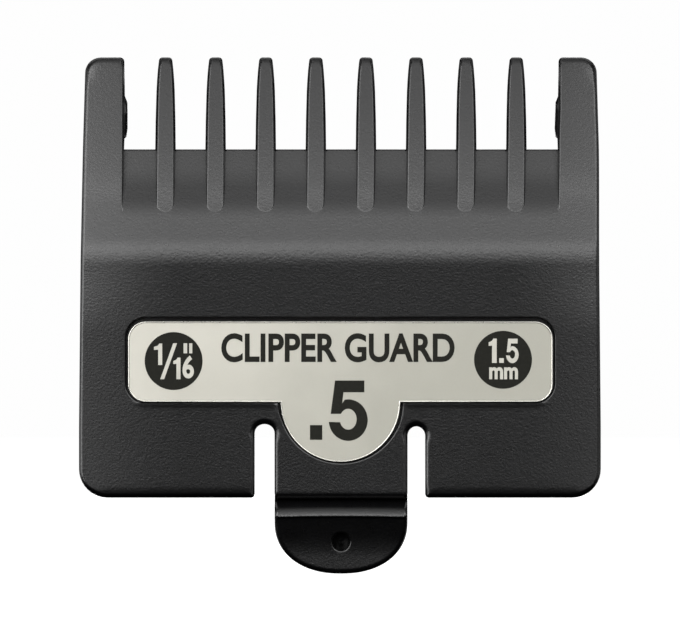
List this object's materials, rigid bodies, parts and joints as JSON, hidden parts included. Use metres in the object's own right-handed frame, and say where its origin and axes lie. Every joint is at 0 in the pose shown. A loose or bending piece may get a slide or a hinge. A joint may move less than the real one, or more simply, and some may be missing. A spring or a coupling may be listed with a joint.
{
  "type": "clipper guard comb",
  "caption": "Clip-on guard comb for a hair clipper blade: toothed plate with a sprung release tab, a metal size badge and a riveted steel blade clip.",
  "frame": {"origin": "centre of the flat blade seat, on the inner face of the plate, half way across and 27.0 mm above the thumb pad's lowest point", "axes": "+X across the width, +Y out of the blade side, -Y towards the skin and the label, +Z towards the tooth tips"},
  "size_m": [0.05, 0.0089, 0.0494],
  "materials": {
    "black_nylon": "fine spark-eroded grain, satin",
    "badge_metal": "satin, warm champagne tint",
    "label_ink": "screen-printed ink",
    "clear_adhesive": "film",
    "spring_steel": "rolled strip",
    "rivet_steel": "plated"
  },
  "bodies": {
    "comb": {"comb_body": "black_nylon", "size_badge": "badge_metal", "badge_adhesive": "clear_adhesive", "clip_leaf": "spring_steel", "clip_rivet_left": "rivet_steel", "clip_rivet_right": "rivet_steel"},
    "tab": {"release_tab": "black_nylon", "clip_hook": "spring_steel"}
  },
  "joints": [
    {"name": "tab_flex", "type": "hinge", "parent": "comb", "child": "tab", "pos_m": [0, -0.00125, -0.0174], "axis": [-1, 0, 0], "range_deg": [0, 12], "stiffness_Nm_per_rad": 0.2}
  ]
}
